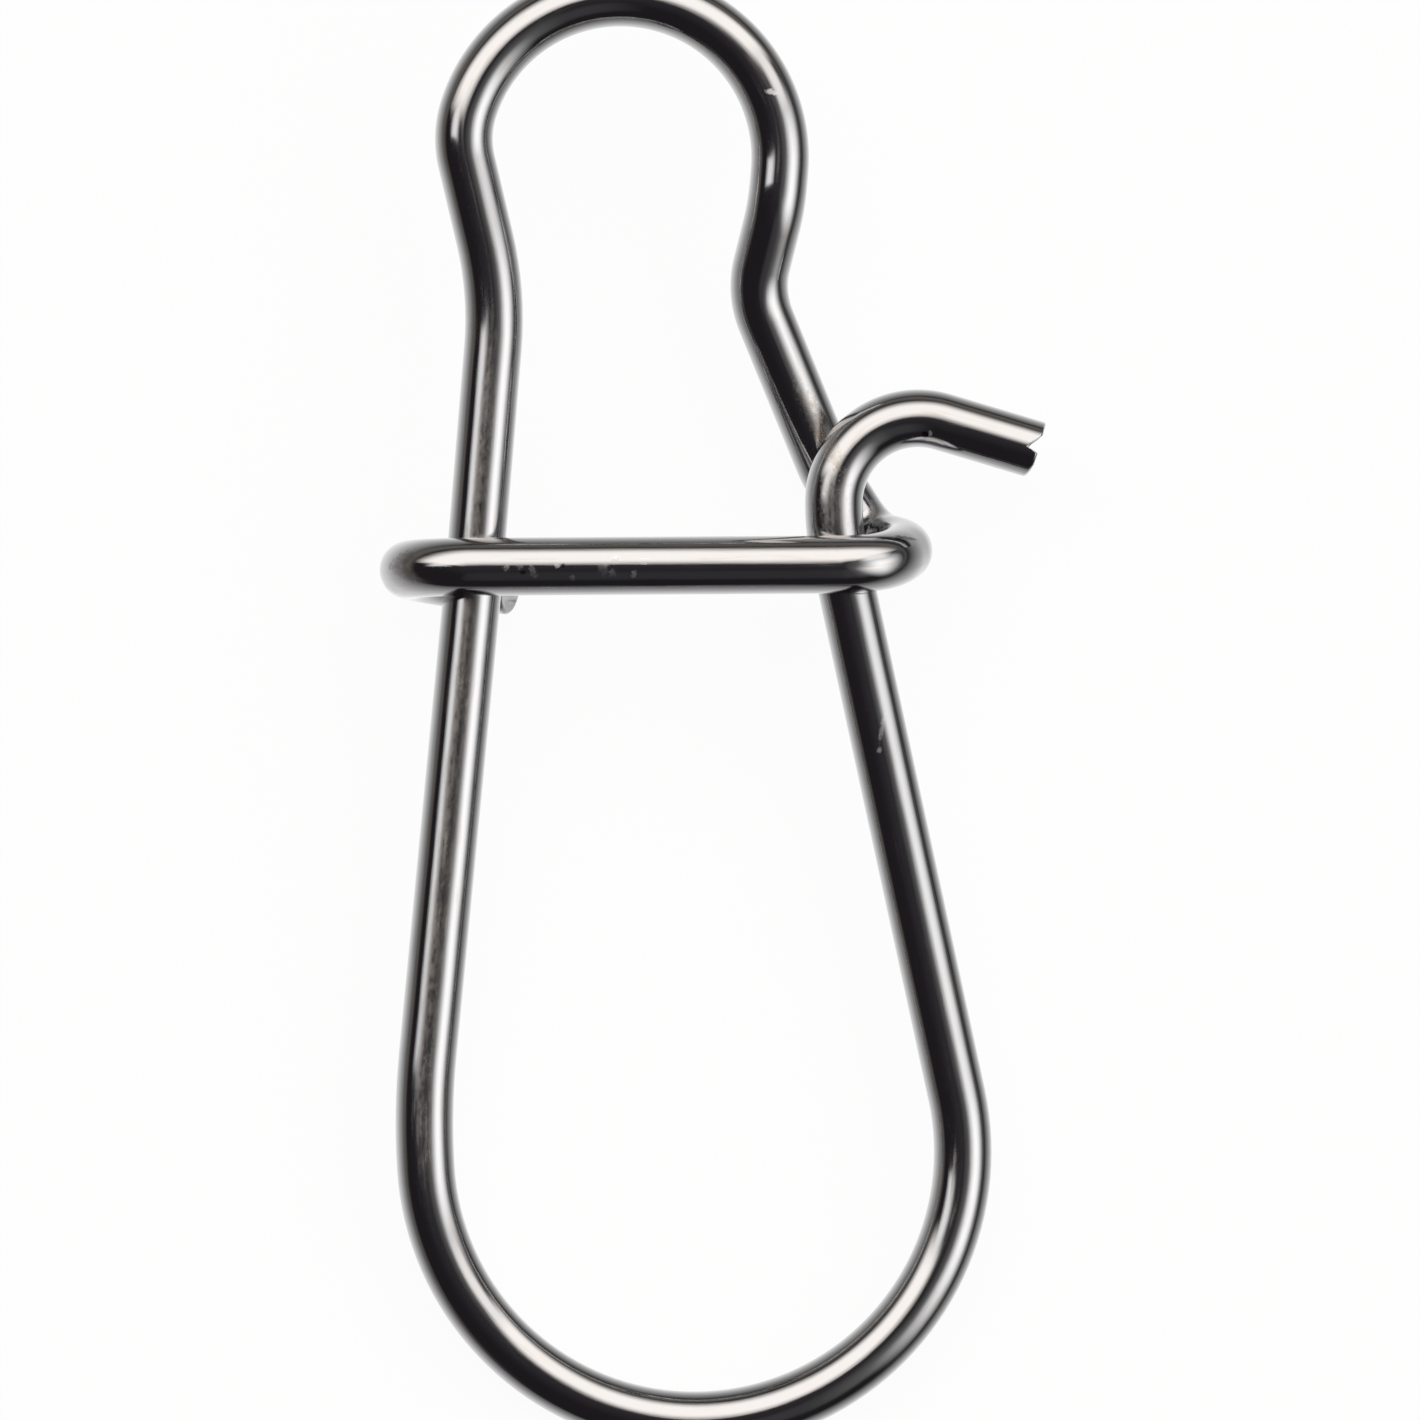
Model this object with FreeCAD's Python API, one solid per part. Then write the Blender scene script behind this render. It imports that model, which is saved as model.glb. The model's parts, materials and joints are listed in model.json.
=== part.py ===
"""Fishing snap bent from one piece of round spring wire, shown latched and lying on its back."""
import FreeCAD, Part
import math
import os

# Sizes in millimetres and degrees. Lengths and radii are measured on the wire's centre line.
wire_diameter = 0.90
wrap_gap = 0.05             # air between two passes of the wire that cross at the keeper

# Lure bow, the big round end
bow_radius = 4.17
bow_side_radius = 11.0      # gentler bend where the bow runs into the plain leg
bow_side_turn = 9.2

# Legs, measured as leans from the long axis, towards the middle
plain_leg_lean = 5.5
plain_leg_upper_lean = 4.75
plain_leg_set_radius = 60.0  # slight set in the plain leg where the keeper holds it
hook_leg_lean = 12.25

# Keeper bar, which crosses in front of both legs
keeper_height = 9.09        # above the bow's centre, on the long axis
keeper_slope = 0.35

# Latch hook at the free end of the hook leg
leg_bend_rise = 0.575       # above the keeper, where the hook leg turns upright
leg_bend_radius = 3.5
upright_run = 0.03
hook_radius = 1.31
tip_droop = 16.7
tip_length = 1.55

# Sheared end of the tip: a notch on the wire's centre line parts a leaning face from a torn lip
shear_angle = 35.0
notch_depth = 0.165
lip_slope = 15.0            # fall of the lip's upper side

# Line eye, the small round end
neck_rise = 4.24            # above the keeper, where the plain leg bends out to the eye
neck_radius = 5.4
eye_flare = 13.3
eye_side_run = 1.23
shoulder_radius = 1.54
shoulder_turn = 31.0
crown_radius = 2.476
cheek_run = 0.18            # straight from the crown to the cheek, which is the bend above the narrow neck
cheek_radius = 1.9
cheek_turn = 9.4
cheek_fall = 19.0           # from the cheek on, the wire falls towards the back of the hook leg
eye_inward_lean = 14.1
throat_run = 1.13           # from the cheek to the corner of the narrow neck
throat_radius = 1.43

# Wrap round the hook leg. Its corners and bends are in passes: one pass is the wire diameter and the gap
front_corner_reach = 0.665  # beside the leg, where the bar turns back
side_corner_reach = 1.10
side_corner_rise = 0.26     # the wrap climbs as it goes round
side_corner_depth = 0.185   # behind the leg's centre
back_corner_reach = 0.61
back_corner_rise = 0.44
arm_bend_rise = 1.54        # where the arm from the eye has come down to the back of the leg
arm_bend_shift = 0.085      # past the leg's centre, away from the tip
front_bend_radius = 0.98
elbow_radius = 0.745        # tighter bends at the side of and behind the leg
arm_bend_radius = 1.9       # in millimetres

# Wrap round the plain leg, in millimetres but for its radius
plain_wrap_radius = 0.97    # in passes
plain_wrap_play = 0.08      # room beside the leg
plain_wrap_drop = 0.09      # how much lower the wrap is behind the leg than in front

# Tail, the other free end, closed round the back of the plain leg
tail_past_side = 20.0       # how far the wrap goes on past half a turn
tail_fall = 6.5
tail_run = 0.34
tail_edge_radius = 0.06

Vec = FreeCAD.Vector
wire_radius = wire_diameter / 2
one_pass = wire_diameter + wrap_gap


def leaning(angle):
    """Unit vector up the part, leaning to the right by an angle in degrees."""
    return Vec(math.sin(math.radians(angle)), math.cos(math.radians(angle)), 0)


def unit(vector):
    return vector / vector.Length


def line_at_height(point, direction, height):
    """Point of a line in the plane of the loops, at a height along the part."""
    return point + direction * ((height - point.y) / direction.y)


class WirePath:
    """Straight runs joined by tangent arcs, collected as edges from one end of the wire to the other."""

    def __init__(self, start):
        self.point = start
        self.edges = []
        self.length = 0.0

    def run_to(self, point):
        run = point.distanceToPoint(self.point)
        if run > 1e-6:
            self.edges.append(Part.LineSegment(self.point, point).toShape())
            self.length += run
        self.point = point

    def arc_about(self, centre, turn):
        """Arc in the plane of the loops, clockwise for a positive turn in degrees."""
        middle = self.turned(centre, turn / 2)
        end = self.turned(centre, turn)
        self.length += (self.point - centre).Length * abs(math.radians(turn))
        self.edges.append(Part.Arc(self.point, middle, end).toShape())
        self.point = end

    def turned(self, centre, turn):
        angle = -math.radians(turn)
        arm = self.point - centre
        return centre + Vec(arm.x * math.cos(angle) - arm.y * math.sin(angle),
                            arm.x * math.sin(angle) + arm.y * math.cos(angle), 0)

    def bend_at(self, corner, following, radius):
        """Run towards a corner and bend round it, towards the corner that follows."""
        come = unit(corner - self.point)
        leave = unit(following - corner)
        turn = come.getAngle(leave)
        tangent = radius * math.tan(turn / 2)
        inward = unit(leave - come)
        centre = corner + inward * (radius / math.cos(turn / 2))
        end = corner + leave * tangent
        self.run_to(corner - come * tangent)
        self.edges.append(Part.Arc(self.point, centre - inward * radius, end).toShape())
        self.length += radius * turn
        self.point = end


# Hook leg: a tangent of the bow, which turns upright just above the keeper
bow_centre = Vec(0, 0, 0)
hook_leg_foot = bow_centre + Vec(math.cos(math.radians(hook_leg_lean)),
                                 math.sin(math.radians(hook_leg_lean)), 0) * bow_radius
hook_leg_up = leaning(-hook_leg_lean)
hook_leg_at_keeper = line_at_height(hook_leg_foot, hook_leg_up, keeper_height)
leg_bend = line_at_height(hook_leg_foot, hook_leg_up, keeper_height + leg_bend_rise)
leg_bend_tangent = leg_bend_radius * math.tan(math.radians(hook_leg_lean) / 2)
hook_foot = leg_bend + Vec(0, leg_bend_tangent + upright_run, 0)

# Latch hook: bends over to the right, and its tip points out and down
hook_centre = hook_foot + Vec(hook_radius, 0, 0)
tip_direction = leaning(90 + tip_droop)
hook_end = hook_centre + leaning(tip_droop) * hook_radius
tip_end = hook_end + tip_direction * tip_length

# Plain leg: follows the bow and its side bend, and passes behind the keeper to the eye
bow_end_lean = plain_leg_lean - bow_side_turn
bow_turn = 180 + hook_leg_lean + bow_end_lean
bow_end = bow_centre - leaning(bow_end_lean + 90) * bow_radius
bow_side_centre = bow_end + leaning(bow_end_lean + 90) * bow_side_radius
plain_leg_foot = bow_side_centre - leaning(plain_leg_lean + 90) * bow_side_radius
plain_leg_at_keeper = line_at_height(plain_leg_foot, leaning(plain_leg_lean), keeper_height)
neck_corner = line_at_height(plain_leg_at_keeper, leaning(plain_leg_upper_lean),
                             keeper_height + neck_rise)
neck_tangent = neck_radius * math.tan(math.radians(plain_leg_upper_lean + eye_flare) / 2)
shoulder_foot = neck_corner + leaning(-eye_flare) * (neck_tangent + eye_side_run)

# Keeper bar: its line in the plane of the legs, and the corners of its two wraps
keeper_rise_per_mm = math.tan(math.radians(keeper_slope))


def keeper_point(across, above, depth):
    """Point beside the keeper's line, measured above it and towards the front."""
    return Vec(across, keeper_height + across * keeper_rise_per_mm + above, depth)


hook_wrap_front = keeper_point(hook_leg_at_keeper.x + front_corner_reach * one_pass, 0, one_pass)
hook_wrap_side = keeper_point(hook_leg_at_keeper.x + side_corner_reach * one_pass,
                              side_corner_rise * one_pass, -side_corner_depth * one_pass)
hook_wrap_back = Vec(leg_bend.x + back_corner_reach * one_pass,
                     keeper_height + back_corner_rise * one_pass, -one_pass)
arm_bend = Vec(leg_bend.x - arm_bend_shift * one_pass,
               keeper_height + arm_bend_rise * one_pass, -one_pass)

plain_wrap_side = plain_leg_at_keeper.x - one_pass - plain_wrap_play
tail_tangent = one_pass * math.tan(math.radians(90 + tail_past_side) / 2)
plain_wrap_front = keeper_point(plain_wrap_side, 0, one_pass)
plain_wrap_back = keeper_point(plain_wrap_side, -plain_wrap_drop, -tail_tangent)
tail_direction = unit(Vec(math.cos(math.radians(tail_past_side)),
                          -math.tan(math.radians(tail_fall)),
                          math.sin(math.radians(tail_past_side))))
tail_end = plain_wrap_back + tail_direction * (tail_tangent + tail_run)


def wire_path():
    """The whole centre line, from the hook's tip to the tail."""
    path = WirePath(tip_end)
    path.run_to(hook_end)
    path.arc_about(hook_centre, -(90 + tip_droop))
    path.bend_at(leg_bend, hook_leg_foot, leg_bend_radius)
    path.run_to(hook_leg_foot)
    path.arc_about(bow_centre, bow_turn)
    path.arc_about(bow_side_centre, bow_side_turn)
    path.bend_at(plain_leg_at_keeper, neck_corner, plain_leg_set_radius)
    path.bend_at(neck_corner, shoulder_foot, neck_radius)
    path.run_to(shoulder_foot)

    # Shoulder and crown of the eye are arcs tangent to each other
    heading = -eye_flare
    crown_turn = 180 + eye_flare + eye_inward_lean - shoulder_turn - cheek_turn
    for radius, turn in ((shoulder_radius, shoulder_turn), (crown_radius, crown_turn)):
        path.arc_about(path.point + leaning(heading + 90) * radius, turn)
        heading += turn

    # The cheek turns inwards and down, and the arm goes on from it to the back of the hook leg
    fall = math.radians(cheek_fall)
    falling = leaning(heading + cheek_turn) * math.cos(fall) - Vec(0, 0, math.sin(fall))
    cheek_tangent = cheek_radius * math.tan(leaning(heading).getAngle(falling) / 2)
    cheek_corner = path.point + leaning(heading) * (cheek_run + cheek_tangent)
    throat_corner = cheek_corner + falling * (cheek_tangent + throat_run)
    path.bend_at(cheek_corner, throat_corner, cheek_radius)
    path.bend_at(throat_corner, arm_bend, throat_radius)
    path.bend_at(arm_bend, hook_wrap_back, arm_bend_radius)
    path.bend_at(hook_wrap_back, hook_wrap_side, elbow_radius * one_pass)
    path.bend_at(hook_wrap_side, hook_wrap_front, elbow_radius * one_pass)
    path.bend_at(hook_wrap_front, plain_wrap_front, front_bend_radius * one_pass)
    path.bend_at(plain_wrap_front, plain_wrap_back, plain_wrap_radius * one_pass)
    path.bend_at(plain_wrap_back, tail_end, plain_wrap_radius * one_pass)
    path.run_to(tail_end)
    return path


def sheared_away():
    """What the shear takes off the tip: a wedge between the leaning face and the lip."""
    notch = tip_end - tip_direction * notch_depth - Vec(0, 0, wire_diameter)
    up_the_face = leaning(tip_droop + shear_angle) * 4 * wire_diameter
    along_the_lip = leaning(90 + tip_droop + lip_slope) * 4 * wire_diameter
    outline = Part.makePolygon([notch, notch + along_the_lip, notch + up_the_face, notch])
    return Part.Face(outline).extrude(Vec(0, 0, 2 * wire_diameter))


def build_snap():
    path = wire_path()
    section = Part.Circle(tip_end, tip_direction, wire_radius).toShape()
    solid = Part.Wire(path.edges).makePipeShell([Part.Wire(section)], True, False)
    tail_rim = min(solid.Edges, key=lambda edge: edge.CenterOfMass.distanceToPoint(tail_end))
    solid = solid.makeFillet(tail_edge_radius, [tail_rim])
    solid = solid.cut(sheared_away()).Solids[0]
    return solid, path.length


def lay_down(solid):
    """Rest the snap on the bottom of its bow and on the two passes behind the legs."""
    bow_rest = bow_centre - Vec(0, bow_radius, 0)
    wrap_rest = Vec(plain_leg_at_keeper.x, plain_wrap_back.y, -one_pass)
    up = unit((hook_wrap_back - bow_rest).cross(wrap_rest - bow_rest))
    solid.Placement = FreeCAD.Placement(Vec(0, 0, 0), FreeCAD.Rotation(up, Vec(0, 0, 1)))
    box = solid.optimalBoundingBox(False, False)
    solid.translate(Vec(-box.Center.x, -box.Center.y, -box.ZMin))
    return solid


snap, wire_length = build_snap()
snap = lay_down(snap)
box = snap.optimalBoundingBox(False, False)
swept_volume = math.pi * wire_radius ** 2 * wire_length
print(f"wire {wire_length:.2f} mm long, volume {snap.Volume:.4f} of {swept_volume:.4f} mm3")
print(f"box {box.XLength:.3f} x {box.YLength:.3f} x {box.ZLength:.3f} mm, valid {snap.isValid()}")

os.makedirs("parts", exist_ok=True)
snap.exportStep("parts/snap_wire.step")
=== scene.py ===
# Fishing snap bent from one piece of polished spring wire, lying on a pale table under soft studio light
import json
import math

import bpy
from mathutils import Matrix, Vector, noise

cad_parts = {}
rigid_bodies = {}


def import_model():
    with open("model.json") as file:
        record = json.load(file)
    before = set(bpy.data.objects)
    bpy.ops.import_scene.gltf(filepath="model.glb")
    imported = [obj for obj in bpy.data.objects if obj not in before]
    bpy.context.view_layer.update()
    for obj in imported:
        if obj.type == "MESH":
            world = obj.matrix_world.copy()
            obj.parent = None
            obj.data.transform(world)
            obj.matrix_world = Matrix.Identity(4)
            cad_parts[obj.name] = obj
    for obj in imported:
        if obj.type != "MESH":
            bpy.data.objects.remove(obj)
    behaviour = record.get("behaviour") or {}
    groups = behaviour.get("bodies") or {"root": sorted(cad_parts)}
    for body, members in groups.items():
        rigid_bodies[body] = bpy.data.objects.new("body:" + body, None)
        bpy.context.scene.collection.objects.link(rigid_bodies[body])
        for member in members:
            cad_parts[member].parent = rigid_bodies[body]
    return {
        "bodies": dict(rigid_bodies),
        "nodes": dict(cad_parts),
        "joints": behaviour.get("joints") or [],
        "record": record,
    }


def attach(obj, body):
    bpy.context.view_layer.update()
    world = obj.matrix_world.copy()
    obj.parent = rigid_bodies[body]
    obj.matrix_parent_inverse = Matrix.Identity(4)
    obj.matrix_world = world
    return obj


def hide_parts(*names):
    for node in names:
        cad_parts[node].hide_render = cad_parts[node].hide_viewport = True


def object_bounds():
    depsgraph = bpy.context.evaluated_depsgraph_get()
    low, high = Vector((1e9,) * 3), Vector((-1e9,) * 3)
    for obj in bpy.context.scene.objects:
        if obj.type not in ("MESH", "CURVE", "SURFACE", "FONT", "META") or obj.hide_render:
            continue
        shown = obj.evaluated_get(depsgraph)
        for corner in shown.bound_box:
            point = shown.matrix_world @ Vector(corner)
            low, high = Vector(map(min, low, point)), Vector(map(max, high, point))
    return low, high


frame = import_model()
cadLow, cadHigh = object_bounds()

mm = 0.001
degree = math.pi / 180

# The wire's route, on its centre line. Leans are from the long axis, towards the middle
snapWire = {
    "diameter": 0.90 * mm,
    "wrapGap": 0.05 * mm,           # air between two passes of the wire that cross at the keeper
    # lure bow, the big round end
    "bowRadius": 4.17 * mm,
    "bowSideRadius": 11.0 * mm,     # gentler bend where the bow runs into the plain leg
    "bowSideTurn": 9.2 * degree,
    # legs
    "plainLegLean": 5.5 * degree,
    "plainLegUpperLean": 4.75 * degree,
    "plainLegSetRadius": 60.0 * mm,
    "hookLegLean": 12.25 * degree,
    # keeper bar, in front of both legs
    "keeperHeight": 9.09 * mm,
    "keeperSlope": 0.35 * degree,
    # latch hook at the free end of the hook leg
    "legBendRise": 0.575 * mm,
    "legBendRadius": 3.5 * mm,
    "uprightRun": 0.03 * mm,
    "hookRadius": 1.31 * mm,
    "tipDroop": 16.7 * degree,
    "tipLength": 1.55 * mm,
    # line eye, the small round end
    "neckRise": 4.24 * mm,
    "neckRadius": 5.4 * mm,
    "eyeFlare": 13.3 * degree,
    "eyeSideRun": 1.23 * mm,
    "shoulderRadius": 1.54 * mm,
    "shoulderTurn": 31.0 * degree,
    "crownRadius": 2.476 * mm,
    "cheekRun": 0.18 * mm,
    "cheekRadius": 1.9 * mm,
    "cheekTurn": 9.4 * degree,
    "cheekFall": 19.0 * degree,     # from the cheek on the wire falls towards the back of the hook leg
    "eyeInwardLean": 14.1 * degree,
    "throatRun": 1.13 * mm,
    "throatRadius": 1.43 * mm,
    # wrap round the hook leg, in passes: one pass is the wire and the gap
    "frontCornerReach": 0.665,
    "sideCornerReach": 1.10,
    "sideCornerRise": 0.26,
    "sideCornerDepth": 0.185,
    "backCornerReach": 0.61,
    "backCornerRise": 0.44,
    "armBendRise": 1.54,
    "armBendShift": 0.085,
    "frontBendRadius": 0.98,
    "elbowRadius": 0.745,
    "armBendRadius": 1.9 * mm,
    # wrap round the plain leg, and the tail behind it
    "plainWrapRadius": 0.97,        # in passes
    "plainWrapPlay": 0.08 * mm,
    "plainWrapDrop": 0.09 * mm,
    "tailPastSide": 20.0 * degree,
    "tailFall": 6.5 * degree,
    "tailRun": 0.34 * mm,
}

wireMesh = {
    "sides": 96,
    "stepOnBends": 2.5 * degree,
    "stepOnRuns": 0.25 * mm,
    "capRings": 60,
    "capSpread": 1.6,               # above 1 the cap's rings crowd towards its rim
    "endReach": 0.4 * mm,           # how far the closer rings behind each end go
    "endRings": 8,
    "edgeRoom": 1.02,               # the closer rings stop short of the worn edge, in edges
    "endRoom": 1.1,                 # and the plain rings short of them, in reaches
    "tipEdge": 0.04 * mm,           # worn edge of the sheared face
    "tailEdge": 0.06 * mm,
}

# Sheared end of the tip: a notch on the centre line parts a leaning face from a torn lip
shearedTip = {
    "shearAngle": 35.0 * degree,
    "notchDepth": 0.165 * mm,
    "lipSlope": 15.0 * degree,
    "lipRoundFrom": 0.17 * mm,      # below the centre, where the lip starts to fall back
    "lipRoundFall": 0.08 * mm,
    "grain": 0.007 * mm,            # torn grain of the face
    "grainSize": 0.09 * mm,
    "fineGrain": 0.5,               # share of a finer grain on it
    "fineGrainScale": 2.3,          # and how much finer
    "grainLift": 0.4,               # more of the grain stands in than out
}


def leaning(angle):
    return Vector((math.sin(angle), math.cos(angle), 0))


def atHeight(point, direction, height):
    return point + direction * ((height - point.y) / direction.y)


class Route:
    # centre line as runs and tangent arcs, kept as places with their headings
    def __init__(self, start, heading):
        self.point = start
        self.places = [(start.copy(), heading.copy())]

    def runTo(self, point):
        run = point - self.point
        if run.length > 1e-9:
            steps = max(1, math.ceil(run.length / wireMesh["stepOnRuns"]))
            for step in range(1, steps + 1):
                self.places.append((self.point + run * (step / steps), run.normalized()))
        self.point = point.copy()

    def arc(self, centre, axis, turn):
        arm = self.point - centre
        steps = max(2, math.ceil(abs(turn) / wireMesh["stepOnBends"]),
                    math.ceil(abs(turn) * arm.length / wireMesh["stepOnRuns"]))
        for step in range(1, steps + 1):
            swung = Matrix.Rotation(turn * step / steps, 3, axis) @ arm
            heading = axis.cross(swung).normalized() * math.copysign(1, turn)
            self.places.append((centre + swung, heading))
        self.point = self.places[-1][0].copy()

    def flatArc(self, centre, turn):
        # in the plane of the loops, clockwise for a positive turn
        self.arc(centre, Vector((0, 0, 1)), -turn)

    def bend(self, corner, following, radius):
        come = (corner - self.point).normalized()
        leave = (following - corner).normalized()
        turn = come.angle(leave)
        inward = (leave - come).normalized()
        centre = corner + inward * (radius / math.cos(turn / 2))
        self.runTo(corner - come * radius * math.tan(turn / 2))
        self.arc(centre, come.cross(leave).normalized(), turn)


def snapRoute(size):
    onePass = size["diameter"] + size["wrapGap"]
    bowCentre = Vector((0, 0, 0))
    hookLean = size["hookLegLean"]
    keeper = size["keeperHeight"]

    # hook leg, and the latch hook on it
    hookLegFoot = bowCentre + Vector((math.cos(hookLean), math.sin(hookLean), 0)) * size["bowRadius"]
    hookLegAtKeeper = atHeight(hookLegFoot, leaning(-hookLean), keeper)
    legBend = atHeight(hookLegFoot, leaning(-hookLean), keeper + size["legBendRise"])
    upright = size["legBendRadius"] * math.tan(hookLean / 2) + size["uprightRun"]
    hookCentre = legBend + Vector((size["hookRadius"], upright, 0))
    tipTurn = math.pi / 2 + size["tipDroop"]
    tipDirection = leaning(tipTurn)
    hookEnd = hookCentre + leaning(size["tipDroop"]) * size["hookRadius"]
    tipEnd = hookEnd + tipDirection * size["tipLength"]

    # plain leg, from the bow to the neck of the eye
    bowEndLean = size["plainLegLean"] - size["bowSideTurn"]
    bowEnd = bowCentre - leaning(bowEndLean + math.pi / 2) * size["bowRadius"]
    bowSideCentre = bowEnd + leaning(bowEndLean + math.pi / 2) * size["bowSideRadius"]
    plainLegFoot = bowSideCentre - leaning(size["plainLegLean"] + math.pi / 2) * size["bowSideRadius"]
    plainLegAtKeeper = atHeight(plainLegFoot, leaning(size["plainLegLean"]), keeper)
    neckCorner = atHeight(plainLegAtKeeper, leaning(size["plainLegUpperLean"]), keeper + size["neckRise"])
    neckTurn = size["plainLegUpperLean"] + size["eyeFlare"]
    neckTangent = size["neckRadius"] * math.tan(neckTurn / 2)
    shoulderFoot = neckCorner + leaning(-size["eyeFlare"]) * (neckTangent + size["eyeSideRun"])

    # corners of the two wraps, measured from the keeper's line
    def keeperPoint(across, above, depth):
        return Vector((across, keeper + across * math.tan(size["keeperSlope"]) + above, depth))

    hookWrapFront = keeperPoint(hookLegAtKeeper.x + size["frontCornerReach"] * onePass, 0, onePass)
    hookWrapSide = keeperPoint(hookLegAtKeeper.x + size["sideCornerReach"] * onePass,
                               size["sideCornerRise"] * onePass, -size["sideCornerDepth"] * onePass)
    hookWrapBack = Vector((legBend.x + size["backCornerReach"] * onePass,
                           keeper + size["backCornerRise"] * onePass, -onePass))
    armBend = Vector((legBend.x - size["armBendShift"] * onePass,
                      keeper + size["armBendRise"] * onePass, -onePass))
    plainWrapSide = plainLegAtKeeper.x - onePass - size["plainWrapPlay"]
    tailTangent = onePass * math.tan((math.pi / 2 + size["tailPastSide"]) / 2)
    plainWrapFront = keeperPoint(plainWrapSide, 0, onePass)
    plainWrapBack = keeperPoint(plainWrapSide, -size["plainWrapDrop"], -tailTangent)
    tailDirection = Vector((math.cos(size["tailPastSide"]), -math.tan(size["tailFall"]),
                            math.sin(size["tailPastSide"]))).normalized()
    tailEnd = plainWrapBack + tailDirection * (tailTangent + size["tailRun"])

    route = Route(tipEnd, -tipDirection)
    route.runTo(hookEnd)
    route.flatArc(hookCentre, -tipTurn)
    route.bend(legBend, hookLegFoot, size["legBendRadius"])
    route.runTo(hookLegFoot)
    route.flatArc(bowCentre, math.pi + hookLean + bowEndLean)
    route.flatArc(bowSideCentre, size["bowSideTurn"])
    route.bend(plainLegAtKeeper, neckCorner, size["plainLegSetRadius"])
    route.bend(neckCorner, shoulderFoot, size["neckRadius"])
    route.runTo(shoulderFoot)

    heading = -size["eyeFlare"]
    crownTurn = (math.pi + size["eyeFlare"] + size["eyeInwardLean"]
                 - size["shoulderTurn"] - size["cheekTurn"])
    for radius, turn in ((size["shoulderRadius"], size["shoulderTurn"]), (size["crownRadius"], crownTurn)):
        route.flatArc(route.point + leaning(heading + math.pi / 2) * radius, turn)
        heading += turn
    falling = (leaning(heading + size["cheekTurn"]) * math.cos(size["cheekFall"])
               - Vector((0, 0, math.sin(size["cheekFall"]))))
    cheekTangent = size["cheekRadius"] * math.tan(leaning(heading).angle(falling) / 2)
    cheekCorner = route.point + leaning(heading) * (cheekTangent + size["cheekRun"])
    throatCorner = cheekCorner + falling * (cheekTangent + size["throatRun"])

    route.bend(cheekCorner, throatCorner, size["cheekRadius"])
    route.bend(throatCorner, armBend, size["throatRadius"])
    route.bend(armBend, hookWrapBack, size["armBendRadius"])
    route.bend(hookWrapBack, hookWrapSide, size["elbowRadius"] * onePass)
    route.bend(hookWrapSide, hookWrapFront, size["elbowRadius"] * onePass)
    route.bend(hookWrapFront, plainWrapFront, size["frontBendRadius"] * onePass)
    route.bend(plainWrapFront, plainWrapBack, size["plainWrapRadius"] * onePass)
    route.bend(plainWrapBack, tailEnd, size["plainWrapRadius"] * onePass)
    route.runTo(tailEnd)

    # what the snap lies on: the bottom of its bow and the two passes behind the legs
    bowRest = bowCentre - Vector((0, size["bowRadius"], 0))
    wrapRest = Vector((plainLegAtKeeper.x, plainWrapBack.y, -onePass))
    facing = (hookWrapBack - bowRest).cross(wrapRest - bowRest).normalized()
    return route.places, facing


def shearDepth(height, depth):
    # how far the sheared end lies before the wire's end, at a height and towards the viewer
    if height > 0:
        cut = shearedTip["notchDepth"] - height * math.tan(shearedTip["shearAngle"])
    else:
        cut = shearedTip["notchDepth"] + height / math.tan(shearedTip["lipSlope"])
    roundFrom = shearedTip["lipRoundFrom"]
    below = max(0, -height - roundFrom) / (snapWire["diameter"] / 2 - roundFrom)
    spot = Vector((height, depth, 0)) / shearedTip["grainSize"]
    fine = noise.noise(spot * shearedTip["fineGrainScale"])
    torn = shearedTip["grainLift"] + noise.noise(spot) + shearedTip["fineGrain"] * fine
    return max(0, cut) + shearedTip["lipRoundFall"] * below ** 2 + shearedTip["grain"] * max(0, torn)


def roundedEdge(distance, edge):
    # how far a worn edge falls back at a distance inside the rim
    inside = min(distance, edge)
    return edge - math.sqrt(max(0, edge * edge - (edge - inside) ** 2))


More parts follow.
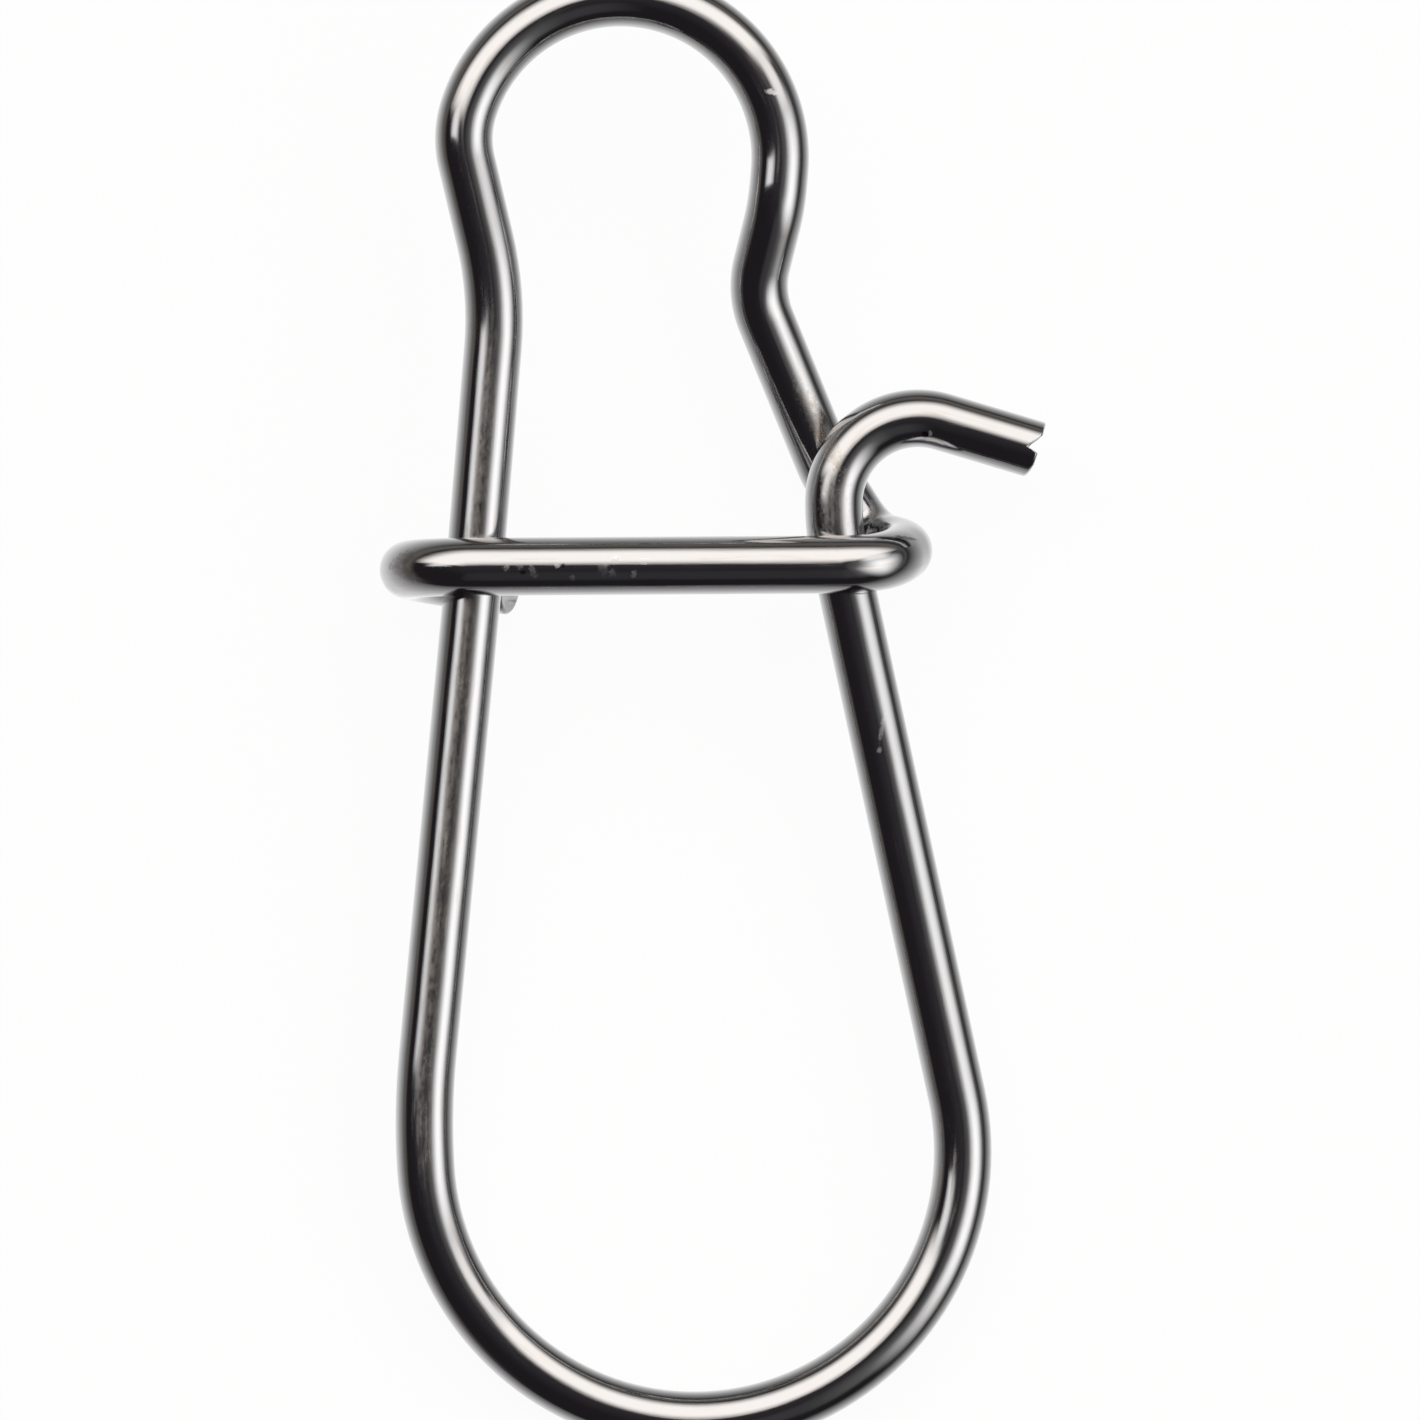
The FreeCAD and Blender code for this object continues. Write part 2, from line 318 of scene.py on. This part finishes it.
def buildWire(size):
    places, facing = snapRoute(size)
    radius = size["diameter"] / 2
    sides = wireMesh["sides"]
    turns = [2 * math.pi * side / sides for side in range(sides)]
    points, coords, faces = [], [], []

    # frames carried along the wire without twist, starting square to the plane of the loops
    across = Vector((0, 0, 1))
    previous = places[0][1]
    frames, along = [], 0.0
    for index, (centre, heading) in enumerate(places):
        across = previous.rotation_difference(heading) @ across
        across = (across - heading * across.dot(heading)).normalized()
        if index:
            along += (centre - places[index - 1][0]).length
        frames.append((centre, heading, across.copy(), heading.cross(across), along))
        previous = heading

    def addRing(frame, scale, backAt):
        # backAt: how far a point of the ring lies back from the frame, against the wire's heading
        centre, heading, across, over, along = frame
        for angle in turns:
            out = (across * math.cos(angle) + over * math.sin(angle)) * radius * scale
            back = backAt(out)
            points.append(centre + out - heading * back)
            coords.append((math.cos(angle) * scale, math.sin(angle) * scale, (along - back) / radius))
        return len(points) - sides

    def addEnd(frame, outward, edge, depthAt):
        # rings from the wall to the middle of an end: closer ones behind it, and then its cap
        sense = outward.dot(frame[1])
        rings = []
        for ring in range(wireMesh["endRings"], 0, -1):
            part = ((ring - 1) / wireMesh["endRings"]) ** 2
            rings.append(addRing(frame, 1, lambda out: sense * (
                edge * wireMesh["edgeRoom"] + depthAt(out) * (1 - part)
                + wireMesh["endReach"] * part)))
        for ring in range(wireMesh["capRings"]):
            scale = 1 - (ring / wireMesh["capRings"]) ** wireMesh["capSpread"]
            rings.append(addRing(frame, scale, lambda out: sense * (
                roundedEdge(radius * (1 - scale), edge) + depthAt(out))))
        points.append(frame[0] - outward * depthAt(Vector((0, 0, 0))))
        coords.append((0, 0, frame[4] / radius))
        return rings, len(points) - 1

    tipHeading = frames[0][1]
    upward = Vector((-tipHeading.y, tipHeading.x, 0))
    upward = upward if upward.y > 0 else -upward
    tipRings, tipMiddle = addEnd(frames[0], -tipHeading, wireMesh["tipEdge"],
                                 lambda out: shearDepth(out.dot(upward), out.z))
    tailRings, tailMiddle = addEnd(frames[-1], frames[-1][1], wireMesh["tailEdge"], lambda out: 0.0)
    clear = wireMesh["endReach"] * wireMesh["endRoom"]
    wall = [addRing(frame, 1, lambda out: 0.0)
            for frame in frames if clear < frame[4] < along - clear]

    rings = [*reversed(tipRings), *wall, *tailRings]
    for first, second in zip(rings, rings[1:]):
        for side in range(sides):
            following = (side + 1) % sides
            faces.append((first + side, first + following, second + following, second + side))
    for side in range(sides):
        following = (side + 1) % sides
        faces.append((rings[0] + following, rings[0] + side, tipMiddle))
        faces.append((rings[-1] + side, rings[-1] + following, tailMiddle))

    # laid down: the plane that it rests on turns flat, and its box stands where the CAD box does
    flat = [point / mm for point in points]
    lay = facing.rotation_difference(Vector((0, 0, 1))).to_matrix()
    points = [lay @ point for point in points]
    low = Vector([min(point[axis] for point in points) for axis in range(3)])
    high = Vector([max(point[axis] for point in points) for axis in range(3)])
    shift = Vector(((cadLow.x + cadHigh.x - low.x - high.x) / 2,
                    (cadLow.y + cadHigh.y - low.y - high.y) / 2, cadLow.z - low.z))
    mesh = bpy.data.meshes.new("snapWire")
    mesh.from_pydata([tuple(point + shift) for point in points], [], faces)
    mesh.shade_smooth()
    for name, values in (("wireCoord", coords), ("flatPlace", flat)):
        attribute = mesh.attributes.new(name, "FLOAT_VECTOR", "POINT")
        attribute.data.foreach_set("vector", [value for vector in values for value in vector])
    mesh.validate()
    mesh.update()
    snap = bpy.data.objects.new("snapWire", mesh)
    bpy.context.collection.objects.link(snap)
    return snap, lay, shift


class Shade:
    # one output socket: arithmetic on it adds Math nodes
    def __init__(self, tree, socket):
        self.tree = tree
        self.socket = socket

    def __add__(self, other):
        return maths(self.tree, "ADD", self, other)

    __radd__ = __add__

    def __sub__(self, other):
        return maths(self.tree, "SUBTRACT", self, other)

    def __rsub__(self, other):
        return maths(self.tree, "SUBTRACT", other, self)

    def __mul__(self, other):
        return maths(self.tree, "MULTIPLY", self, other)

    __rmul__ = __mul__

    def __pow__(self, other):
        return maths(self.tree, "POWER", self, other)

    def __rpow__(self, other):
        return maths(self.tree, "POWER", other, self)


def addNode(tree, kind, settings=None, inputs=None, output=None):
    # any node: its settings first, then the values or links of its sockets
    node = tree.nodes.new(kind)
    for name, value in (settings or {}).items():
        setattr(node, name, value)
    sockets = [socket for socket in node.inputs if socket.enabled]
    for name, value in (inputs or {}).items():
        target = sockets[name] if isinstance(name, int) else [s for s in sockets if s.name == name][0]
        if isinstance(value, Shade):
            tree.links.new(value.socket, target)
        elif target.type == "RGBA":
            target.default_value = (*value, 1)
        else:
            target.default_value = value
    outputs = [socket for socket in node.outputs if socket.enabled]
    if output:
        outputs = [socket for socket in outputs if socket.name == output]
    return Shade(tree, outputs[0]) if outputs else None


def maths(tree, operation, *values):
    return addNode(tree, "ShaderNodeMath", {"operation": operation}, dict(enumerate(values)))


def smoothStep(tree, value, low, high, start=0.0, end=1.0):
    return addNode(tree, "ShaderNodeMapRange", {"interpolation_type": "SMOOTHSTEP"},
                   {"Value": value, "From Min": low, "From Max": high, "To Min": start, "To Max": end})


def blend(tree, factor, first, second):
    return addNode(tree, "ShaderNodeMix", {"data_type": "RGBA"}, {0: factor, "A": first, "B": second})


def scaled(tree, colour, factor):
    return addNode(tree, "ShaderNodeVectorMath", {"operation": "SCALE"},
                   {"Vector": colour, "Scale": factor})


def newTree(owner):
    owner.use_nodes = True
    owner.node_tree.nodes.clear()
    return owner.node_tree


# Wear at single places, and two painted reflections, in millimetres in the plane of the loops: its middle,
# its half sizes, the turn of its long side in degrees, and how far the surface is lightened (scuffs, and
# one painted glint), darkened (pits, and one painted dark reflection) and browned there
wearMarks = (
    # keeper bar
    {"at": (-2.90, 9.04), "half": (0.07, 0.05), "turn": 0, "bareAndPaintedGlint": 0.5, "dark": 0, "brown": 0},
    {"at": (-2.69, 9.06), "half": (0.05, 0.05), "turn": 0, "bareAndPaintedGlint": 0.4, "dark": 0, "brown": 0},
    {"at": (-2.65, 8.98), "half": (0.05, 0.03), "turn": 0, "bareAndPaintedGlint": 0, "dark": 0.8, "brown": 0},
    {"at": (-2.48, 8.98), "half": (0.06, 0.09), "turn": -30, "bareAndPaintedGlint": 0.5, "dark": 0, "brown": 0},
    {"at": (-2.12, 9.09), "half": (0.05, 0.06), "turn": 0, "bareAndPaintedGlint": 0.7, "dark": 0, "brown": 0},
    {"at": (-2.02, 9.09), "half": (0.03, 0.03), "turn": 0, "bareAndPaintedGlint": 0, "dark": 0.9, "brown": 0},
    {"at": (-1.88, 8.89), "half": (0.05, 0.05), "turn": 0, "bareAndPaintedGlint": 0.6, "dark": 0, "brown": 0},
    {"at": (-1.39, 9.03), "half": (0.09, 0.10), "turn": 0, "bareAndPaintedGlint": 0.4, "dark": 0, "brown": 0},
    {"at": (-1.21, 9.17), "half": (0.06, 0.06), "turn": 0, "bareAndPaintedGlint": 1.0, "dark": 0, "brown": 0},
    {"at": (-1.26, 8.98), "half": (0.06, 0.07), "turn": 0, "bareAndPaintedGlint": 0.5, "dark": 0, "brown": 0},
    {"at": (-0.93, 8.95), "half": (0.04, 0.07), "turn": 20, "bareAndPaintedGlint": 0.7, "dark": 0, "brown": 0},
    {"at": (-0.76, 9.15), "half": (0.08, 0.05), "turn": 0, "bareAndPaintedGlint": 0.6, "dark": 0, "brown": 0},
    # browned grain on the hook and on the arm behind it
    {"at": (2.15, 9.95), "half": (0.24, 0.50), "turn": 0, "bareAndPaintedGlint": 0, "dark": 0, "brown": 0.55},
    {"at": (1.95, 11.25), "half": (0.15, 0.75), "turn": -26, "bareAndPaintedGlint": 0, "dark": 0, "brown": 1.0},
    # hook leg and eye
    {"at": (2.91, 6.57), "half": (0.035, 0.20), "turn": 10, "bareAndPaintedGlint": 0.4, "dark": 0, "brown": 0},
    {"at": (2.87, 6.23), "half": (0.03, 0.06), "turn": 20, "bareAndPaintedGlint": 0.45, "dark": 0, "brown": 0},
    {"at": (1.20, 16.43), "half": (0.09, 0.04), "turn": 20, "bareAndPaintedGlint": 1.0, "dark": 0, "brown": 0},
    # hook, left and right wrap, arm and tail; on the right wrap a painted dark reflection, on the arm a
    # painted glint
    {"at": (3.59, 11.12), "half": (0.05, 0.05), "turn": 0, "bareAndPaintedGlint": 0, "dark": 0.9, "brown": 0},
    {"at": (3.66, 11.14), "half": (0.03, 0.04), "turn": 0, "bareAndPaintedGlint": 1.0, "dark": 0, "brown": 0},
    {"at": (-4.52, 9.18), "half": (0.20, 0.08), "turn": -35, "bareAndPaintedGlint": 0, "dark": 0.55, "brown": 0.4},
    {"at": (-4.50, 8.98), "half": (0.22, 0.08), "turn": 30, "bareAndPaintedGlint": 0, "dark": 0.45, "brown": 0.4},
    # painted dark reflection: a thin dark streak on the right wrap, where the wire only mirrors the top of
    # the front arm
    {"at": (3.28, 9.52), "half": (0.16, 0.02), "turn": 10, "bareAndPaintedGlint": 0, "dark": 0.8, "brown": 0},
    # painted glint: a lighter patch on the arm behind the hook, where the wire only mirrors a highlight
    {"at": (2.84, 9.92), "half": (0.14, 0.24), "turn": 0, "bareAndPaintedGlint": 0.6, "dark": 0, "brown": 0},
    {"at": (-2.82, 8.55), "half": (0.06, 0.02), "turn": 0, "bareAndPaintedGlint": 0, "dark": 0.8, "brown": 0},
    {"at": (-2.84, 8.44), "half": (0.13, 0.14), "turn": 0, "bareAndPaintedGlint": 0, "dark": 0.35, "brown": 0},
)

polishedWire = {
    "metal": (0.435, 0.432, 0.442),
    "brownDrawing": (0.40, 0.365, 0.33),    # tint of the drawing marks
    "coat": 0.8,                            # clear coat, which brightens the rims
    "roughness": 0.085,
    "drawnRoughness": 0.20,                 # in the streaks that drawing left along the wire
    "drawnTint": 0.8,                       # how far the streaks take their tint
    "streaks": (7.0, 0.06, 4.0, 0.65),      # a grain: how fine over one wire radius, its share of that
                                            # along the wire, its detail, and how rough the detail is
    "streaksFrom": (0.50, 0.72),            # where the grain turns into a streak
    "streakDepth": 0.0010 * mm,
    "patches": (0.55, 0.6, 2.0, 0.6),       # the grain that gathers the streaks in patches
    "patchesFrom": (0.38, 0.62),
    "waves": (0.9, 0.3, 1.0, 0.6),
    "waviness": 0.005 * mm,
    "browned": (0.42, 0.385, 0.355),        # mottled grain of the plain leg, up to its neck
    "brownedUpTo": (-2.9, -2.5),            # in mm across, where it fades out
    "brownedAbove": (-1.4, 0.6),            # in mm up the snap
    "brownedBelow": (11.5, 13.5),
    "brownedBehind": (0.5, 0.6),            # in mm towards the viewer
    "brownedBand": (0.18, 0.34),            # and round the wire: it follows the middle of the leg
    "brownedRoughness": 0.24,
    "brownedTint": 0.75,
    "mottling": (4.5, 0.5, 3.0, 0.75),
    "mottlingFrom": (0.3, 0.65, 0.3, 1.0),  # its lowest and highest grain, and the stain at each
    # scuffed tint: bare scuffs, and also the painted glint on the arm behind the hook
    "scuffedAndPaintedGlint": (0.62, 0.61, 0.62),
    "scuffedRoughness": 0.42,
    # pitted tint: dark pits, and also the painted dark reflection on the right wrap
    "pittedAndPaintedReflection": (0.05, 0.045, 0.042),
    "ragged": 4.2,                          # how torn the outline of a mark is
    "raggedScale": 16.0,
    "markEdge": (0.2, 1.8),                 # where a mark starts to fade and has gone, in its sizes squared
}


def wireMaterial(look):
    material = bpy.data.materials.new("polishedWire")
    tree = newTree(material)
    coord = addNode(tree, "ShaderNodeAttribute", {"attribute_name": "wireCoord"}, output="Vector")

    def grain(scale, stretch, detail, roughness):
        stretched = addNode(tree, "ShaderNodeVectorMath", {"operation": "MULTIPLY"},
                            {0: coord, 1: (scale, scale, scale * stretch)})
        return addNode(tree, "ShaderNodeTexNoise", {}, {"Vector": stretched, "Scale": 1.0,
                                                        "Detail": detail, "Roughness": roughness})

    streaks = grain(*look["streaks"])
    drawn = (smoothStep(tree, streaks, *look["streaksFrom"])
             * smoothStep(tree, grain(*look["patches"]), *look["patchesFrom"]))
    colour = blend(tree, drawn * look["drawnTint"], look["metal"], look["brownDrawing"])
    rough = drawn * (look["drawnRoughness"] - look["roughness"]) + look["roughness"]

    # mottled grain of the plain leg
    place = addNode(tree, "ShaderNodeAttribute", {"attribute_name": "flatPlace"}, output="Vector")
    across, upward, towards = [addNode(tree, "ShaderNodeSeparateXYZ", {}, {0: place}, output=axis)
                               for axis in "XYZ"]
    side = addNode(tree, "ShaderNodeSeparateXYZ", {}, {0: coord}, output="Y")
    leg = (smoothStep(tree, across, *look["brownedUpTo"], 1.0, 0.0)
           * smoothStep(tree, upward, *look["brownedAbove"])
           * smoothStep(tree, upward, *look["brownedBelow"], 1.0, 0.0)
           * smoothStep(tree, towards, *look["brownedBehind"], 1.0, 0.0))
    band = smoothStep(tree, maths(tree, "ABSOLUTE", side), *look["brownedBand"], 1.0, 0.0)
    grained = smoothStep(tree, grain(*look["mottling"]), *look["mottlingFrom"])
    mottle = leg * band * grained
    colour = blend(tree, mottle * look["brownedTint"], colour, look["browned"])
    rough = rough + mottle * (look["brownedRoughness"] - look["roughness"])

    # wear at single places, with a painted glint and a painted dark reflection among them
    torn = addNode(tree, "ShaderNodeTexNoise", {}, {"Vector": place, "Scale": look["raggedScale"],
                                                    "Detail": 3.0})
    for mark in wearMarks:
        turn = mark["turn"] * degree
        aside, over = across - mark["at"][0], upward - mark["at"][1]
        wide = (aside * math.cos(turn) - over * math.sin(turn)) * (1 / mark["half"][0])
        long = (aside * math.sin(turn) + over * math.cos(turn)) * (1 / mark["half"][1])
        reach = wide * wide + long * long + (torn - 0.5) * look["ragged"]
        worn = smoothStep(tree, reach, *look["markEdge"], 1.0, 0.0)
        if mark["brown"]:
            worn = worn * grained
        # the scuffed tint also paints a glint, and the pitted tint a dark reflection, at two of the marks
        for kind, tint in (("bareAndPaintedGlint", "scuffedAndPaintedGlint"), ("dark", "pittedAndPaintedReflection"), ("brown", "browned")):
            if mark[kind]:
                colour = blend(tree, worn * mark[kind], colour, look[tint])
        rough = rough + worn * (mark["bareAndPaintedGlint"] * look["scuffedRoughness"]
                                + mark["brown"] * look["brownedRoughness"])

    waves = addNode(tree, "ShaderNodeBump", {}, {"Strength": 1.0, "Distance": look["waviness"],
                                                 "Height": grain(*look["waves"])})
    bump = addNode(tree, "ShaderNodeBump", {}, {"Strength": 1.0, "Distance": look["streakDepth"],
                                                "Height": streaks, "Normal": waves})
    shader = addNode(tree, "ShaderNodeBsdfPrincipled", {}, {
        "Base Color": colour, "Metallic": 1.0, "Roughness": rough, "Normal": bump,
        "Coat Weight": look["coat"], "Coat Roughness": look["roughness"]})
    addNode(tree, "ShaderNodeOutputMaterial", {}, {"Surface": shader})
    return material


table = {
    "halfWidth": 0.6,
    "paper": (0.90, 0.90, 0.91),
    "white": (1.0, 1.0, 1.0),
    "whiteShare": 0.95,             # the rest is lit by the lamps and carries the shadow
    "dimming": 1.24,                # in reflections: how fast the white comes up to full from edge-on
    "lean": 7 * degree,             # the fall-off leans a little to one side
    "leanTowards": 10 * degree,
}


def buildTable(size):
    half = size["halfWidth"]
    corners = ((-half, -half, 0), (half, -half, 0), (half, half, 0), (-half, half, 0))
    mesh = bpy.data.meshes.new("table")
    mesh.from_pydata(corners, [], [(0, 1, 2, 3)])
    floor = bpy.data.objects.new("table", mesh)
    bpy.context.collection.objects.link(floor)

    material = bpy.data.materials.new("paperTable")
    tree = newTree(material)

    def rays(kind):
        return addNode(tree, "ShaderNodeLightPath", output=kind)

    seen = rays("Is Camera Ray") + rays("Is Glossy Ray") + rays("Is Transmission Ray")
    side = math.sin(size["lean"])
    leaned = addNode(tree, "ShaderNodeCombineXYZ", {}, {
        0: side * math.cos(size["leanTowards"]), 1: side * math.sin(size["leanTowards"]),
        2: math.cos(size["lean"])})
    facing = 1 - addNode(tree, "ShaderNodeLayerWeight", {}, {"Blend": 0.5, "Normal": leaned},
                         output="Facing")
    paper = addNode(tree, "ShaderNodeBsdfDiffuse", {}, {"Color": size["paper"]})
    full = maths(tree, "MINIMUM", facing * size["dimming"] + rays("Is Camera Ray"), 1.0)
    white = addNode(tree, "ShaderNodeEmission", {}, {"Color": scaled(tree, size["white"], full),
                                                     "Strength": 1.0})
    both = addNode(tree, "ShaderNodeMixShader", {}, {0: seen * size["whiteShare"], 1: paper, 2: white})
    addNode(tree, "ShaderNodeOutputMaterial", {}, {"Surface": both})
    mesh.materials.append(material)
    return floor


# Panels of soft light round the table, in degrees: out from straight above, and round from the right.
# Each is a rounded shape with soft edges: square tells how square its ends are, bulge from which
# bearing and how fast it bows outwards, and halo how much light scatters round it, up to so many
# times its own size
softLights = {
    "top": {"out": (8, 62), "round": (36, 162), "square": 24, "soft": 0.55, "bulge": (116, 0.003),
        "glow": (2.08, 1.99, 1.88), "halo": 0.0, "haloReach": 1},
    "corner": {"out": (31, 69), "round": (13, 58), "square": 4, "soft": 0.6, "bulge": (0, 0),
        "glow": (1.75, 1.70, 1.64), "halo": 0.0, "haloReach": 1},
    "right": {"out": (37, 76.5), "round": (-37, 20), "square": 5, "soft": 0.85, "bulge": (0, 0),
        "glow": (1.85, 1.835, 1.81), "halo": 0.20, "haloReach": 3.5},
    "strip": {"out": (25, 51), "round": (157, 177), "square": 40, "soft": 0.75, "bulge": (0, 0),
        "glow": (1.55, 1.53, 1.50), "halo": 0.0, "haloReach": 1},
    "fill": {"out": (18, 60), "round": (-95, -30), "square": 4, "soft": 0.6, "bulge": (0, 0),
        "glow": (0.08, 0.076, 0.084), "halo": 0.0, "haloReach": 1},
}

darkRoom = {
    "overhead": (0.046, 0.042, 0.048),
    "overheadUpTo": 40,
    "low": (0.025, 0.022, 0.026),
    "horizon": (0.20, 0.18, 0.16),
    "horizonFrom": (72, 86),        # degrees out where the glow of the horizon starts and is full
    "horizonTurn": 0.7,             # it lies on the upper left
    "horizonEdge": (-0.6, 0.3),
    "zenithUpTo": 8,                # straight above no light shows
    "haloDown": (50, 76),           # and the scattered light fades out towards the table
    "panelPower": 4,                # how square the panels' corners are
}


def lightRoom(view):
    # view: the matrix whose columns are the picture's right, its up, and the way to the camera
    world = bpy.data.worlds.new("softStudio")
    bpy.context.scene.world = world
    tree = newTree(world)
    towards = addNode(tree, "ShaderNodeTexCoord", {}, output="Generated")

    def share(axis):
        return addNode(tree, "ShaderNodeVectorMath", {"operation": "DOT_PRODUCT"},
                       {0: towards, 1: view.col[axis]}, output="Value")

    right, up, above = share(0), share(1), share(2)
    outward = maths(tree, "ARCCOSINE", above) * (1 / degree)
    roundabout = maths(tree, "ARCTAN2", up, right) * (1 / degree)

    def offMiddle(value, limits):
        off = (value - (limits[0] + limits[1]) / 2) * (2 / (limits[1] - limits[0]))
        return maths(tree, "ABSOLUTE", off)

    room = blend(tree, smoothStep(tree, outward, 0, darkRoom["overheadUpTo"]),
                 darkRoom["overhead"], darkRoom["low"])
    glowing = (smoothStep(tree, outward, *darkRoom["horizonFrom"])
               * smoothStep(tree, up - right * darkRoom["horizonTurn"], *darkRoom["horizonEdge"]))
    room = blend(tree, glowing, room, darkRoom["horizon"])
    offZenith = smoothStep(tree, outward, 0, darkRoom["zenithUpTo"])
    scattering = offZenith * smoothStep(tree, outward, *darkRoom["haloDown"], 1.0, 0.0)
    power = darkRoom["panelPower"]
    for light in softLights.values():
        aside = roundabout - light["bulge"][0]
        bowed = outward - aside * aside * light["bulge"][1]
        reach = (offMiddle(bowed, light["out"]) ** power
                 + offMiddle(roundabout, light["round"]) ** light["square"]) ** (1 / power)
        lit = offZenith * smoothStep(tree, reach, 1 - light["soft"], 1 + light["soft"], 1.0, 0.0)
        if light["halo"]:
            lit = lit + scattering * smoothStep(tree, reach, 0, light["haloReach"], light["halo"], 0.0)
        room = addNode(tree, "ShaderNodeMix", {"data_type": "RGBA", "blend_type": "LIGHTEN"},
                       {0: 1.0, "A": room, "B": scaled(tree, light["glow"], lit)})
    sky = addNode(tree, "ShaderNodeBackground", {}, {"Color": room, "Strength": 1.0})
    addNode(tree, "ShaderNodeOutputWorld", {}, {"Surface": sky})


picture = {
    "width": 22.034 * mm,           # what the picture's width spans, at the plane of the loops
    "centre": (0.2472 * mm, 6.8530 * mm),
    "distance": 300 * mm,
    "seenFrom": 0.1,                # nearest and farthest that the camera sees, in distances
    "seenTo": 20,
    "sensor": 36.0,                 # in millimetres, as Blender has it
}


def placeCamera(lay, shift):
    data = bpy.data.cameras.new("camera")
    camera = bpy.data.objects.new("camera", data)
    bpy.context.collection.objects.link(camera)
    bpy.context.scene.camera = camera
    data.sensor_width = picture["sensor"]
    data.lens = picture["sensor"] * picture["distance"] / picture["width"]
    data.clip_start = picture["distance"] * picture["seenFrom"]
    data.clip_end = picture["distance"] * picture["seenTo"]
    middle = lay @ Vector((*picture["centre"], 0)) + shift
    eye = middle + lay.col[2] * picture["distance"]
    camera.matrix_world = Matrix.Translation(eye) @ lay.to_4x4()


print("wire")
snap, lay, shift = buildWire(snapWire)
snap.data.materials.append(wireMaterial(polishedWire))
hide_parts("snap_wire")
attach(snap, "root")

print("table, light and camera")
buildTable(table)
lightRoom(lay)
placeCamera(lay, shift)
bpy.context.scene.view_settings.view_transform = "Standard"
